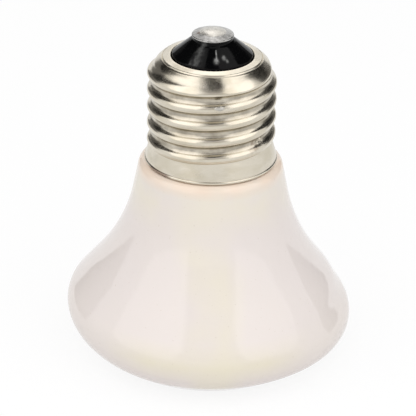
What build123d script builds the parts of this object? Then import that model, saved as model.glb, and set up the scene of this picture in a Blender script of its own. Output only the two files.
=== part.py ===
from build123d import *
import os
from math import acos, asin, atan, cos, degrees, hypot, pi, radians, sin, sqrt, tan

# Ceramic heat emitter with a screw cap, standing on its flat ceramic face, in millimetres.
# The origin is the middle of that face, +Z runs up the axis to the contact, and -Y is the front.

# Ceramic body: the corners of its half outline, and the arc that rounds each one
ledge_height = 42.3
ledge_width = 1.2
flare_radius = 18.1
flare_height = 25.5
widest_radius = 30.0
upper_edge_height = 10.6
lower_edge_height = 5.4
foot_radius = 22.4
shoulder_round = 1.8
flare_round = 42.0
upper_edge_round = 7.4
lower_edge_round = 4.4
foot_round = 2.5
spigot_below_glass = 5.5
most_of_run = 0.98

# Screw thread, seven turns to the inch, rolled as two equal arcs that touch. Its start is placed from
# the skirt, and its end from the shoulder.
thread_pitch = 25.4 / 7
thread_crest_radius = 13.1
thread_depth = 1.1
crest_above_skirt = 8.81
thread_start_fade = (2.6, 3.4)
thread_end_fade = (-0.3, 0.5)

# Screw shell: one drawn sheet
sheet = 0.3
rim_gap = 0.2
rim_flare = 0.3
rim_band = 0.8
rim_lip = 0.2
skirt_slope = 0.286
wall_length = 18.3
opening_radius = 8.3
opening_edge = 0.4
shoulder_split_turn = 52
groove_turn = 62
groove_width = 0.3
groove_depth = 0.12
ring_slope = 0.3
fold_radius = 0.35
fold_end = 240
inner_arc_end = 72
blend_width = 0.3

# Glass insulator
glass_clearance = 0.2
glass_flange_drop = 1.1
glass_collar_rise = 0.57
glass_cone_slope = 40
glass_cone_edge = 0.55
glass_neck_inset = 0.15
glass_neck_round = 0.3
glass_neck_length = 0.85

# Centre contact and its solder
contact_radius = 4.2
contact_edge = 0.36
contact_edge_share = 0.45
contact_rise = 0.5
contact_hole_radius = 1.2
contact_collar_length = 1.4
collar_wall = 0.4
collar_clearance = 0.1
solder_radius = 2.75
solder_rise = 0.55

# Cement and lead wires
cement_wall = 1.3
cement_clearance = 0.15
cement_top_below_spigot = 1.0
wire_radius = 0.35
wire_clearance = 0.1
wire_hole_radius = 0.6
wire_hole_depth = 5.0
wire_hole_offset = 4.0
wire_bend = 1.6
wire_tip_in_solder = 0.35
wire_bend_height = 1.5
wire_centring_rise = 2.6

# Side solder, as a direction round the axis and a place below the shoulder
side_angle = 277.0
side_below_shoulder = 2.6
side_solder_width = 1.15
side_solder_height = 0.6
side_solder_depth = 0.42
side_wire_proud = 0.15

# Worked out from the sizes above: thread and shell
thread_root_radius = thread_crest_radius - thread_depth
thread_arc = (thread_depth**2 + (thread_pitch / 2) ** 2) / (4 * thread_depth)
flank_turn = asin(thread_pitch / 4 / thread_arc)
rim_bottom = ledge_height + rim_gap
rim_radius = thread_crest_radius + rim_flare
inner_rim_radius = rim_radius - sheet * hypot(1, skirt_slope)
skirt_start = rim_bottom + rim_band
shoulder_centre_height = skirt_start + wall_length
shoulder_centre_radius = opening_radius + opening_edge
shoulder_radius = thread_root_radius - shoulder_centre_radius
shoulder_split_rise = shoulder_radius * sin(radians(shoulder_split_turn))
groove_start = shoulder_centre_radius + shoulder_radius * cos(radians(groove_turn))
ring_outer_radius = groove_start - groove_width
ring_outer_reach = ring_outer_radius - shoulder_centre_radius
ring_outer_height = shoulder_centre_height + sqrt(shoulder_radius**2 - ring_outer_reach**2)
ring_tilt = atan(ring_slope)
fold_centre_radius = opening_radius + fold_radius
ring_inner_radius = fold_centre_radius + fold_radius * sin(ring_tilt)
ring_inner_height = ring_outer_height + ring_slope * (ring_outer_radius - ring_inner_radius)
fold_height = ring_inner_height - fold_radius * cos(ring_tilt)

# Worked out: glass and contact
glass_underside = shoulder_centre_height - glass_flange_drop
glass_collar_radius = opening_radius - glass_clearance
glass_neck_radius = contact_radius - glass_neck_inset
glass_cone_top_radius = glass_neck_radius + glass_cone_edge
glass_cone_foot = fold_height + glass_collar_rise
glass_cone_rise = (glass_collar_radius - glass_cone_top_radius) * tan(radians(glass_cone_slope))
glass_cone_top_height = glass_cone_foot + glass_cone_rise
contact_underside = glass_cone_top_height + glass_neck_length
contact_top = contact_underside + contact_edge + contact_rise
contact_collar_radius = contact_hole_radius + collar_wall

# Worked out: spigot, side solder and wire holes
spigot_radius = thread_root_radius - sheet - cement_wall
spigot_top = glass_underside - spigot_below_glass
neck_radius = rim_radius + ledge_width
side_turn = radians(side_angle)
side_height = shoulder_centre_height - side_below_shoulder
side_hole_place = (wire_hole_offset * cos(side_turn), wire_hole_offset * sin(side_turn))
centre_hole_place = (-side_hole_place[0], -side_hole_place[1])

# How finely the rolled tube is drawn
sections_per_pitch = 12
points_per_turn = 24
shoulder_section_count = 5
groove_section_count = 6
ring_section_count = 4
fold_section_count = 10
inner_arc_section_count = 3
small_turn = 0.001


def smooth_step(value, low, high):
    """Rises gently from 0 at low to 1 at high."""
    share = min(1.0, max(0.0, (value - low) / (high - low)))
    return share * share * (3 - 2 * share)


def soft_max(a, b):
    """The larger of two radii, with a small round where they cross."""
    nearness = max(blend_width - abs(a - b), 0) / blend_width
    return max(a, b) + nearness * nearness * blend_width / 4


def ridge(offset, inset):
    """How far the thread stands above its root, offset mm along the axis from a crest."""
    offset = abs((offset + thread_pitch / 2) % thread_pitch - thread_pitch / 2)
    crest_arc = thread_arc - inset
    root_arc = thread_arc + inset
    if offset <= crest_arc * sin(flank_turn):
        return thread_depth - thread_arc + sqrt(crest_arc**2 - offset**2) + inset
    return root_arc - sqrt(root_arc**2 - (thread_pitch / 2 - offset) ** 2)


def skirt_radius(height, inset):
    """The plain skirt, which flares evenly towards the rim."""
    return rim_radius - skirt_slope * (height - skirt_start) - inset * hypot(1, skirt_slope)


def shoulder_at(height, inset):
    """The drawn shoulder: upright at the thread, then an arc over to the opening."""
    above = max(0, height - shoulder_centre_height)
    return shoulder_centre_radius + sqrt((shoulder_radius - inset) ** 2 - above**2)


def shell_radius(angle, height, inset):
    """The rolled shell's radius, where its thread grows out of the skirt and dies on the shoulder."""
    crest = skirt_start + crest_above_skirt + thread_pitch * angle / (2 * pi)
    crest += thread_pitch * round((height - crest) / thread_pitch)
    strength = smooth_step(crest - skirt_start, *thread_start_fade)
    strength *= 1 - smooth_step(crest - shoulder_centre_height, *thread_end_fade)
    body = min(thread_root_radius - inset, shoulder_at(height, inset))
    threaded = body + strength * ridge(height - crest, inset)
    return soft_max(threaded, skirt_radius(height, inset))


def shell_ring(radius_at, height):
    """A closed level curve round the shell, from its radius at each angle: two half turns."""

    def point(angle):
        return Vector(radius_at(angle) * cos(angle), radius_at(angle) * sin(angle), height)

    def heading(angle):
        return (point(angle + small_turn) - point(angle - small_turn)).normalized()

    halves = []
    steps = points_per_turn // 2
    shares = [number / steps for number in range(steps + 1)]
    for start in (0, pi):
        points = [point(start + pi * share) for share in shares]
        tangents = [heading(start), heading(start + pi)]
        halves.append(Edge.make_spline(points, tangents=tangents, parameters=shares))
    return Wire(halves)


def round_ring(radius, height):
    """A level circle of the shell, where it has no thread."""
    return shell_ring(lambda angle: radius, height)


def wall_rings(inset):
    """The rings up one side of the wall, from the skirt through the thread to the shoulder."""
    span = wall_length + shoulder_split_rise
    count = round(span / thread_pitch * sections_per_pitch)
    heights = [skirt_start + span * number / count for number in range(count + 1)]
    return [shell_ring(lambda angle: shell_radius(angle, height, inset), height) for height in heights]


def arc_rings(centre, radius, low, high, count):
    """The rings along an arc of the half outline, between two angles counted up from level."""
    turns = [radians(low + (high - low) * number / count) for number in range(count + 1)]
    return [round_ring(centre[0] + radius * cos(turn), centre[1] + radius * sin(turn)) for turn in turns]


def groove_rings():
    """The rings of the shallow groove that divides the shoulder from the flat ring."""
    rings = []
    for number in range(1, groove_section_count):
        share = number / groove_section_count
        radius = groove_start - groove_width * share
        dip = groove_depth * sin(pi * share) ** 2
        height = shoulder_centre_height + sqrt(shoulder_radius**2 - (radius - shoulder_centre_radius) ** 2)
        rings.append(round_ring(radius, height - dip))
    return rings


def flat_ring_rings():
    """The rings of the flat ring round the opening, which rises a little towards it."""
    rings = []
    for number in range(ring_section_count):
        radius = ring_outer_radius + (ring_inner_radius - ring_outer_radius) * number / ring_section_count
        rings.append(round_ring(radius, ring_outer_height + ring_slope * (ring_outer_radius - radius)))
    return rings


def threaded_form():
    """The solid inside the shell's outer skin, for what has to seat on the thread."""
    return Solid.make_loft(wall_rings(0))


def rounds_that_fit(corners, rounds):
    """The rounds of an outline, each made smaller where two arcs would not fit on the run between them."""
    runs = [Vector(*after) - Vector(*before) for before, after in zip(corners, corners[1:])]
    turns = [radians(run.get_angle(after)) for run, after in zip(runs, runs[1:])]
    takes = [0, *[size * tan(turn / 2) for size, turn in zip(rounds, turns)], 0]
    shares = [min(1, most_of_run * run.length / (a + b)) for run, a, b in zip(runs, takes, takes[1:])]
    return [size * min(pair) for size, pair in zip(rounds, zip(shares, shares[1:]))]


def turned(outline):
    """A solid turned round the axis from a closed half outline, drawn as (radius, height)."""
    return revolve(Plane.XZ * make_face(outline), Axis.Z, 360)


def turned_polygon(*corners):
    """A solid turned round the axis from a straight-sided half outline."""
    return turned(Polyline(*corners, close=True))


def arc_between(centre, radius, low, high):
    """The arc of a half outline between two angles, counted in degrees up from level."""
    turns = [radians(low), radians((low + high) / 2), radians(high)]
    points = [(centre[0] + radius * cos(turn), centre[1] + radius * sin(turn)) for turn in turns]
    return ThreePointArc(*points)


def make_ceramic_body():
    """The moulded bell, with a spigot for the cap and two holes that the coil's ends come out of."""
    corners = (
        (spigot_radius, ledge_height),
        (neck_radius, ledge_height),
        (flare_radius, flare_height),
        (widest_radius, upper_edge_height),
        (widest_radius, lower_edge_height),
        (foot_radius, 0),
        (0, 0),
    )
    rounds = [shoulder_round, flare_round, upper_edge_round, lower_edge_round, foot_round]
    outside = FilletPolyline(*corners, radius=rounds_that_fit(corners, rounds))
    inside = Polyline((0, 0), (0, spigot_top), (spigot_radius, spigot_top), (spigot_radius, ledge_height))
    body = turned(outside + inside)
    for place in (centre_hole_place, side_hole_place):
        hole = Cylinder(wire_hole_radius, wire_hole_depth, align=(Align.CENTER, Align.CENTER, Align.MAX))
        body -= Pos(*place, spigot_top) * hole
    return body


def make_screw_shell():
    """One thin sheet: its outline goes up the outside, over the opening's folded edge and down the inside."""
    shoulder = (shoulder_centre_radius, shoulder_centre_height)
    fold = (fold_centre_radius, fold_height)
    fold_start = 90 - degrees(ring_tilt)
    inner_radius = shoulder_radius - sheet
    inner_low = degrees(asin(shoulder_split_rise / inner_radius))
    lip_heights = [rim_bottom + rim_lip * step for step in (1, 2, 3)]
    rings = [
        round_ring(rim_radius, rim_bottom),
        round_ring(rim_radius + rim_lip, lip_heights[0]),
        round_ring(rim_radius + rim_lip, lip_heights[1]),
        round_ring(rim_radius, lip_heights[2]),
        *wall_rings(0),
        *arc_rings(shoulder, shoulder_radius, shoulder_split_turn, groove_turn, shoulder_section_count)[1:],
        *groove_rings(),
        *flat_ring_rings(),
        *arc_rings(fold, fold_radius, fold_start, fold_end, fold_section_count),
        *arc_rings(shoulder, inner_radius, inner_arc_end, inner_low, inner_arc_section_count)[:-1],
        *reversed(wall_rings(sheet)),
        round_ring(inner_rim_radius, rim_bottom),
    ]
    skin = Shell.make_loft(rings)
    rims = skin.edges().group_by(Axis.Z)[0]
    inner_half, inner_other, outer_half, outer_other = rims.sort_by(SortBy.LENGTH)
    cut_edge = Face(Wire([outer_half, outer_other]), [Wire([inner_half, inner_other])])
    side_hole = Cylinder(wire_radius + wire_clearance, 2 * thread_depth + sheet)
    return Solid(Shell([*skin.faces(), cut_edge])) - side_place(thread_root_radius) * Rot(0, 90, 0) * side_hole


def make_glass_insulator():
    """Moulded glass: a cone in the opening, and a flange that fills the shoulder from inside."""
    centre = (shoulder_centre_radius, shoulder_centre_height)
    flange_arc = shoulder_radius - sheet - glass_clearance
    step_height = fold_height - fold_radius - glass_clearance
    flange = arc_between(centre, flange_arc, 0, degrees(asin((step_height - centre[1]) / flange_arc)))
    rest = Polyline(
        flange @ 1,
        (glass_collar_radius, step_height),
        (glass_collar_radius, glass_cone_foot),
        (glass_cone_top_radius, glass_cone_top_height),
        (glass_neck_radius, glass_cone_top_height + glass_neck_round),
        (glass_neck_radius, contact_underside),
        (contact_collar_radius + collar_clearance, contact_underside),
        (contact_collar_radius + collar_clearance, glass_underside),
        (centre[0] + flange_arc, glass_underside),
        flange @ 0,
    )
    return turned(flange + rest)


def make_centre_contact():
    """A pressed disc with a rounded edge, and a collar that holds it in the glass bore."""
    disc = turned_polygon(
        (contact_hole_radius, contact_underside - contact_collar_length),
        (contact_collar_radius, contact_underside - contact_collar_length),
        (contact_collar_radius, contact_underside),
        (contact_radius, contact_underside),
        (contact_radius, contact_underside + contact_edge),
        (solder_radius, contact_top),
        (contact_hole_radius, contact_top),
    )
    rim = disc.edges().filter_by(GeomType.CIRCLE).group_by(SortBy.RADIUS)[-1]
    return fillet(rim, contact_edge * contact_edge_share)


def make_contact_solder():
    """Solder that fills the disc's hole round the wire and stands over it as a low dome."""
    dome_radius = (solder_radius**2 + solder_rise**2) / (2 * solder_rise)
    dome_centre = (0, contact_top + solder_rise - dome_radius)
    dome = arc_between(dome_centre, dome_radius, degrees(acos(solder_radius / dome_radius)), 90)
    rest = Polyline(
        dome @ 1,
        (0, contact_underside),
        (contact_hole_radius, contact_underside),
        (contact_hole_radius, contact_top),
        dome @ 0,
    )
    return turned(dome + rest) - make_centre_lead()


def side_place(radius):
    """The place beside the side solder that lies this far from the axis, facing outward along X."""
    return Pos(0, 0, side_height) * Rot(0, 0, side_angle) * Pos(radius, 0, 0)


def make_side_solder():
    """The small lump on the thread where the side wire comes through and is fused to the shell."""
    lump = scale(Sphere(1), by=(side_solder_depth, side_solder_width, side_solder_height))
    lump = side_place(shell_radius(side_turn, side_height, 0)) * lump
    return lump - threaded_form() - make_side_lead()


def make_cap_cement():
    """The ring of cement between the spigot and the shell."""
    top = spigot_top - cement_top_below_spigot
    inner_root = thread_root_radius - sheet - cement_clearance
    inner_rim = inner_rim_radius - cement_clearance
    cone_top = skirt_start + (inner_rim - inner_root) / skirt_slope
    return turned_polygon(
        (spigot_radius, ledge_height),
        (inner_rim, ledge_height),
        (inner_rim, skirt_start),
        (inner_root, cone_top),
        (inner_root, top),
        (spigot_radius, top),
    )


def bent_wire(*points):
    """A round wire along straight runs with a tangent arc at each bend."""
    route = FilletPolyline(*points, radius=wire_bend)
    section = Plane(origin=route @ 0, z_dir=route % 0) * Circle(wire_radius)
    return sweep(section, path=route)


def make_centre_lead():
    """The wire from the coil to the contact, bent over to the axis and up the glass bore."""
    x, y = centre_hole_place
    foot = spigot_top - wire_hole_depth
    bend = spigot_top + wire_bend_height
    tip = contact_underside + wire_tip_in_solder
    return bent_wire((x, y, foot), (x, y, bend), (0, 0, bend + wire_centring_rise), (0, 0, tip))


def make_side_lead():
    """The wire from the coil to the shell, bent out level, through its hole and into the side solder."""
    x, y = side_hole_place
    foot = spigot_top - wire_hole_depth
    reach = shell_radius(side_turn, side_height, 0) + side_wire_proud
    share = reach / wire_hole_offset
    return bent_wire((x, y, foot), (x, y, side_height), (x * share, y * share, side_height))


pieces = {
    "ceramic_body": make_ceramic_body(),
    "screw_shell": make_screw_shell(),
    "glass_insulator": make_glass_insulator(),
    "centre_contact": make_centre_contact(),
    "contact_solder": make_contact_solder(),
    "side_solder": make_side_solder(),
    "cap_cement": make_cap_cement(),
    "centre_lead": make_centre_lead(),
    "side_lead": make_side_lead(),
}

os.makedirs("parts", exist_ok=True)
for name, piece in pieces.items():
    export_step(piece, f"parts/{name}.step")
    print(name, round(piece.volume, 1), "mm3")
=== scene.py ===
# %% [markdown]
# A ceramic heat emitter: a glazed bell with a coil fired into it, and a screw cap with a centre contact.
# This notebook dresses the CAD model of it for a studio photograph.
# The CAD model gives the sizes and places. What is added here is this piece's own unevenness and wear, and
# it stays inside the CAD box.

# %% Load the frame
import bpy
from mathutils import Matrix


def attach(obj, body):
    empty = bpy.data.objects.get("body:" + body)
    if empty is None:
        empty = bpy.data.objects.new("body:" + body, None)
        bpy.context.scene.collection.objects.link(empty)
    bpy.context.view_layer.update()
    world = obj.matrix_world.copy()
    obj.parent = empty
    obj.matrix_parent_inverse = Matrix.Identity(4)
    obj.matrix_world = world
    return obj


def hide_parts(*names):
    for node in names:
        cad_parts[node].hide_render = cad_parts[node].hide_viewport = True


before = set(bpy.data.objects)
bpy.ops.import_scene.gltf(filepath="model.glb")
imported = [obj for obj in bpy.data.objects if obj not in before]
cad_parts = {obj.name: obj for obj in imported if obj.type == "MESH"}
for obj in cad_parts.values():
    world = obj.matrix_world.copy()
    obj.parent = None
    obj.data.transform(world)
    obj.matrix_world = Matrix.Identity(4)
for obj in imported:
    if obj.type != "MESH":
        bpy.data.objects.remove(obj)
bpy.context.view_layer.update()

# %% [markdown]
# Blender works in metres and the real object is known in millimetres, so one small value turns one into
# the other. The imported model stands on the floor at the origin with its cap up, and the front faces -Y.

# %% Units and tools
import bmesh
import bpy
from itertools import chain
from math import acos, asin, atan, atan2, ceil, cos, degrees, exp, hypot, pi, radians, sin, sqrt, tan
from mathutils import Matrix, Vector, noise

mm = 0.001
scene = bpy.context.scene
print("nodes", sorted(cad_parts))

# %% [markdown]
# Nearly every piece here is round: it was turned, pressed or spun. Such a piece is drawn as half of its
# outline, beside the axis, and the outline is carried round. An outline is a list of (radius, height).
# One helper makes an arc of it, one rounds the corners of a straight-sided outline, and one adds points
# along it, because noise can only move a surface where the mesh has points.


# %% Outlines
def arc(centre, radius, low, high, count):
    """Points along an arc of an outline, between two angles in degrees counted up from level."""
    turns = [radians(low + (high - low) * step / count) for step in range(count + 1)]
    return [(centre[0] + radius * cos(turn), centre[1] + radius * sin(turn)) for turn in turns]


def rounded(corners, rounds, spacing):
    """An open outline through the corners, with an arc of the given radius at each corner but the ends."""
    outline = [corners[0]]
    for before, corner, after, radius in zip(corners, corners[1:], corners[2:], rounds):
        into = (Vector(corner) - Vector(before)).normalized()
        away = (Vector(after) - Vector(corner)).normalized()
        turn = into.angle(away)
        side = 1 if into.cross(away) > 0 else -1
        start = Vector(corner) - into * radius * tan(turn / 2)
        centre = start + Vector((-into.y, into.x)) * radius * side
        count = max(3, ceil(radius * turn / spacing))
        for step in range(count + 1):
            outline.append(tuple(centre + Matrix.Rotation(side * turn * step / count, 2) @ (start - centre)))
    return outline + [corners[-1]]


def evenly(outline, spacing):
    """The same outline with points added along each stretch that is longer than the spacing."""
    points = []
    for start, end in zip(outline, outline[1:]):
        count = max(1, ceil(hypot(end[0] - start[0], end[1] - start[1]) / spacing))
        points += [tuple(Vector(start).lerp(Vector(end), step / count)) for step in range(count)]
    return points + [outline[-1]]


print("an arc of 3 steps", [(round(x, 2), round(y, 2)) for x, y in arc((0, 0), 1, 0, 90, 3)])

# %% [markdown]
# The outline is carried round in spokes, and each of its points becomes a ring. Blender's Screw modifier
# could do it, but a screw thread isn't the same all the way round. So the mesh is made from rings of points,
# and a ring may have any shape. Faces are shaded smooth, and an edge that turns sharply stays crisp.

# %% Rings into a mesh
crisp_turn = radians(42)


def ring(radius_at, height, spokes):
    """A level ring of points, from its radius at each angle."""
    turns = [2 * pi * spoke / spokes for spoke in range(spokes)]
    return [Vector((radius_at(turn) * cos(turn), radius_at(turn) * sin(turn), height)) for turn in turns]


def turned_rings(outline, spokes):
    """The rings of a turned piece. A point on the axis is a ring of one point."""
    rings = []
    for radius, height in outline:
        rings.append(ring(lambda turn: radius, height, spokes) if radius > 0 else [Vector((0, 0, height))])
    return rings


def as_object(name, mesh):
    """The finished mesh as an object in the scene."""
    data = bpy.data.meshes.new(name)
    mesh.to_mesh(data)
    mesh.free()
    made = bpy.data.objects.new(name, data)
    scene.collection.objects.link(made)
    return made


def shade_crisply(piece):
    """Smooth shading, but for the edges that turn sharply."""
    piece.data.shade_smooth()
    piece.data.set_sharp_from_angle(angle=crisp_turn)


def skin(name, rings, loop):
    """One closed mesh over the rings, in order. With loop, the last ring is joined to the first."""
    mesh = bmesh.new()
    rows = [[mesh.verts.new(point) for point in points] for points in rings]
    for lower, upper in zip(rows, rows[1:] + rows[:1] if loop else rows[1:]):
        count = max(len(lower), len(upper))
        for spoke in range(count):
            after = (spoke + 1) % count
            low = [lower[0]] if len(lower) == 1 else [lower[spoke], lower[after]]
            high = [upper[0]] if len(upper) == 1 else [upper[after], upper[spoke]]
            mesh.faces.new(low + high)
    bmesh.ops.recalc_face_normals(mesh, faces=mesh.faces)
    piece = as_object(name, mesh)
    shade_crisply(piece)
    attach(piece, "root")
    print(name, len(piece.data.polygons), "faces")
    return piece


print("sharp edges from", round(degrees(crisp_turn)), "degrees")

# %% [markdown]
# No fired, pressed or rolled piece is quite true. Four functions say how a piece is off: gentle noise of one
# real size, the same of several sizes, a rise from 0 to 1, and a hump that fades on both sides.


# %% Unevenness
def waver(point, size):
    """Gentle unevenness from 0 to 1 that changes over about this size."""
    return 0.5 + 0.5 * max(-1.0, min(1.0, noise.noise(point / size)))


def waves(point, parts):
    """How far unevenness of several sizes moves a point, from a list of (size, depth)."""
    return sum(depth * waver(point, size) for size, depth in parts)


def smooth_step(value, low, high):
    """Rises gently from 0 at low to 1 at high."""
    share = min(1.0, max(0.0, (value - low) / (high - low)))
    return share * share * (3 - 2 * share)


def hump(offset, width):
    """1 in the middle of a hump, about a third at its width, and nearly 0 at twice that."""
    return exp(-((offset / width) ** 2))


print("a hump", [round(hump(offset, 1), 2) for offset in (0, 1, 2)])

# %% [markdown]
# The bell is one piece of white ceramic, pressed in a mould, fired and glazed. Its outline has four real
# curves: a small shoulder under the cap, the long flare, the full lower edge and the turn under the foot.
# A drawn curve could follow them by eye. Straight lines with rounded corners are used, because then every
# number is a size that can be measured.

# %% Bell outline
ledge_height = 42.3 * mm
neck_radius = 14.6 * mm
flare_radius = 18.1 * mm
flare_height = 25.5 * mm
widest_radius = 30.0 * mm
upper_edge_height = 10.6 * mm
lower_edge_height = 5.4 * mm
foot_radius = 22.4 * mm
spigot_radius = 10.4 * mm
spigot_top = 55.0 * mm
bell_rounds = [1.8 * mm, 42.0 * mm, 7.4 * mm, 4.4 * mm, 2.5 * mm]

bell_corners = [
    (spigot_radius, ledge_height),
    (neck_radius, ledge_height),
    (flare_radius, flare_height),
    (widest_radius, upper_edge_height),
    (widest_radius, lower_edge_height),
    (foot_radius, 0),
    (0, 0),
]
bell_spacing = 0.6 * mm
spigot_spacing = 2 * mm
bell_outline = evenly(rounded(bell_corners, bell_rounds, bell_spacing), bell_spacing)
spigot_corners = [(0, spigot_top), (spigot_radius, spigot_top), (spigot_radius, ledge_height)]
print("bell outline", len(bell_outline), "points")

# %% [markdown]
# Glaze runs a little while it melts, so the bell gets slight hollows, always inward, and stays inside its CAD
# box. This bell also slumped in the kiln: its left edge sits a millimetre higher than its right one and is
# tucked in below, and its right edge is slightly flattened above. It could be sculpted by hand. A formula is
# used, so that each part of the slump has a size. Its heights are shares of the upper edge's height.

# %% Glazed bell
bell_spokes = 300
glaze_runs = [(14 * mm, 0.16 * mm), (4 * mm, 0.035 * mm)]
left_lift = 1.0 * mm
lift_rise = 1.6
lift_end = 3.2
lift_fade = 1.2
left_tuck = 0.95 * mm
tuck_side = (0.1, 0.8)
tuck_middle = 0.35
tuck_spread = 0.4
right_hollow = 0.95 * mm
hollow_middle = 1.15
hollow_spread = 0.24


def slumped(point):
    """The same point of the bell after the kiln."""
    leftness = max(0.0, -point.x / widest_radius)
    rightness = max(0.0, point.x / widest_radius)
    share = point.z / upper_edge_height
    lift = left_lift * leftness**3 * min(1.0, share * lift_rise)
    lift *= max(0.0, min(1.0, (lift_end - share) / lift_fade))
    tuck = left_tuck * smooth_step(leftness, *tuck_side) * hump(share - tuck_middle, tuck_spread)
    hollow = right_hollow * rightness**2 * hump(share - hollow_middle, hollow_spread)
    return Vector((point.x + tuck - hollow, point.y, point.z + lift))


bell_rings = turned_rings(evenly(spigot_corners, spigot_spacing)[:-1] + bell_outline, bell_spokes)
for point in chain(*bell_rings):
    reach = hypot(point.x, point.y)
    if reach > spigot_radius + mm and 0 < point.z < ledge_height:
        run = waves(point, glaze_runs)
        point.xy *= 1 - run / reach
        point[:] = slumped(point)
bell = skin("glazed_bell", bell_rings, loop=False)

# %% [markdown]
# The ends of the coil come out of the spigot through two small holes, which the cap hides. They are cut
# as the real ones are moulded: a plain round pin for each, taken away from the bell. Faces could be bridged
# by hand, but a Boolean modifier does it for a pin of any size.

# %% Wire holes
wire_hole_radius = 0.6 * mm
wire_hole_depth = 5.0 * mm
wire_hole_offset = 4.0 * mm
pin_spokes = 32
side_turn = radians(-83)

pin_low = spigot_top - wire_hole_depth
pin_high = spigot_top + wire_hole_depth
pin_outline = [(0, pin_low), (wire_hole_radius, pin_low), (wire_hole_radius, pin_high), (0, pin_high)]
pin_rings = turned_rings(pin_outline, pin_spokes)
for offset in (wire_hole_offset, -wire_hole_offset):
    aside = Vector((offset * cos(side_turn), offset * sin(side_turn), 0))
    pin = skin("pin", [[point + aside for point in points] for points in pin_rings], loop=False)
    cut = bell.modifiers.new("wire hole", "BOOLEAN")
    cut.operation = "DIFFERENCE"
    cut.object = pin
    bpy.context.view_layer.update()
    solid = bell.evaluated_get(bpy.context.evaluated_depsgraph_get())
    bell.modifiers.clear()
    bell.data = bpy.data.meshes.new_from_object(solid)
    bpy.data.objects.remove(pin)
shade_crisply(bell)
print("bell with its holes", len(bell.data.polygons), "faces")

# %% [markdown]
# The cap is one thin sheet of nickel-plated brass. It was drawn into a cup, its thread was rolled in from
# both sides, and the top was pressed to a flat ring with a folded edge round the opening. The thread is two
# equal arcs that touch, with seven turns to the inch. Its domed shoulder is one long arc, from the flat ring
# out to its widest edge. These are the cap's sizes.

# %% Sizes of the cap
thread_pitch = 25.4 / 7 * mm
thread_crest_radius = 13.1 * mm
thread_depth = 1.1 * mm
crest_above_skirt = 8.81 * mm
thread_start_fade = (2.6 * mm, 3.4 * mm)
thread_end_fade = (0.8 * mm, 1.5 * mm)
sheet = 0.3 * mm
rim_gap = 0.2 * mm
rim_band = 0.8 * mm
rim_bottom = ledge_height + rim_gap
rim_radius = 13.4 * mm
rim_lip = 0.2 * mm
skirt_start = rim_bottom + rim_band
skirt_slope = 0.286
wall_length = 18.3 * mm
opening_radius = 8.3 * mm
opening_edge = 0.4 * mm
wall_end_turn = radians(52)
groove_turn = radians(62)
groove_width = 0.3 * mm
dome_edge = Vector((12.95 * mm, 62.0 * mm))
dome_arc = 13.4 * mm

thread_arc = (thread_depth**2 + (thread_pitch / 2) ** 2) / (4 * thread_depth)
thread_root_radius = thread_crest_radius - thread_depth
flank_turn = asin(thread_pitch / 4 / thread_arc)
shoulder_centre_radius = opening_radius + opening_edge
shoulder_centre_height = skirt_start + wall_length
shoulder_radius = thread_root_radius - shoulder_centre_radius
wall_end_rise = shoulder_radius * sin(wall_end_turn)
groove_start = shoulder_centre_radius + shoulder_radius * cos(groove_turn)
ring_outer = Vector((groove_start - groove_width, 0))
ring_across = ring_outer.x - shoulder_centre_radius
ring_outer.y = shoulder_centre_height + sqrt(shoulder_radius**2 - ring_across**2)
dome_middle = (ring_outer + dome_edge) / 2
dome_out = Vector((ring_outer.y - dome_edge.y, dome_edge.x - ring_outer.x)).normalized()
dome_centre = dome_middle - dome_out * sqrt(dome_arc**2 - (dome_edge - dome_middle).length ** 2)
print("thread depth", round(thread_depth / mm, 3), "mm, root radius", round(thread_root_radius / mm, 2), "mm")

# %% [markdown]
# A thread could be swept along a helix, but then it would have to be joined to the skirt and the shoulder.
# Here one formula gives the sheet's radius at any angle and height, inside and out. The ridges climb one
# pitch with each turn and grow out of the plain skirt. The last turn runs out on the domed shoulder, which
# cuts it off. The roller left a faint crease under each crest.

# %% Thread formula
blend_width = 0.3 * mm
crease_place = -0.42 * mm
crease_width = 0.13 * mm
crease_depth = 0.065 * mm


def soft_max(a, b):
    """The larger of two radii, with a small round where they cross."""
    nearness = max(blend_width - abs(a - b), 0) / blend_width
    return max(a, b) + nearness * nearness * blend_width / 4


def ridge(offset, inset):
    """How far the thread stands above its root, this far along the axis from a crest."""
    offset = abs((offset + thread_pitch / 2) % thread_pitch - thread_pitch / 2)
    crest_arc = thread_arc - inset
    root_arc = thread_arc + inset
    if offset <= crest_arc * sin(flank_turn):
        return thread_depth - thread_arc + sqrt(crest_arc**2 - offset**2) + inset
    return root_arc - sqrt(root_arc**2 - (thread_pitch / 2 - offset) ** 2)


def shoulder_at(height, inset):
    """The drawn shoulder: upright at the thread's root, then an arc over to the opening."""
    above = max(0, height - shoulder_centre_height)
    return shoulder_centre_radius + sqrt((shoulder_radius - inset) ** 2 - above**2)


def dome_at(height, inset):
    """The radius of the domed shoulder, which nearly is a cone, at this height."""
    return dome_centre.x + sqrt((dome_arc - inset) ** 2 - (height - dome_centre.y) ** 2)


def shell_radius(angle, height, inset):
    """The radius of the rolled sheet, outside at an inset of 0 and inside at the sheet's thickness."""
    crest = skirt_start + crest_above_skirt + thread_pitch * angle / (2 * pi)
    crest += thread_pitch * round((height - crest) / thread_pitch)
    strength = smooth_step(crest - skirt_start, *thread_start_fade)
    strength *= 1 - smooth_step(crest - shoulder_centre_height, *thread_end_fade)
    threaded = min(thread_root_radius - inset, shoulder_at(height, inset))
    threaded += strength * ridge(height - crest, inset)
    threaded -= strength * crease_depth * hump(height - crest - crease_place, crease_width)
    threaded = -soft_max(-threaded, -dome_at(height, inset))
    skirt = rim_radius - skirt_slope * (height - skirt_start) - inset * hypot(1, skirt_slope)
    return soft_max(threaded, skirt)


print("crest radius", round(shell_radius(0, skirt_start + crest_above_skirt, 0) / mm, 2), "mm")

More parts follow.
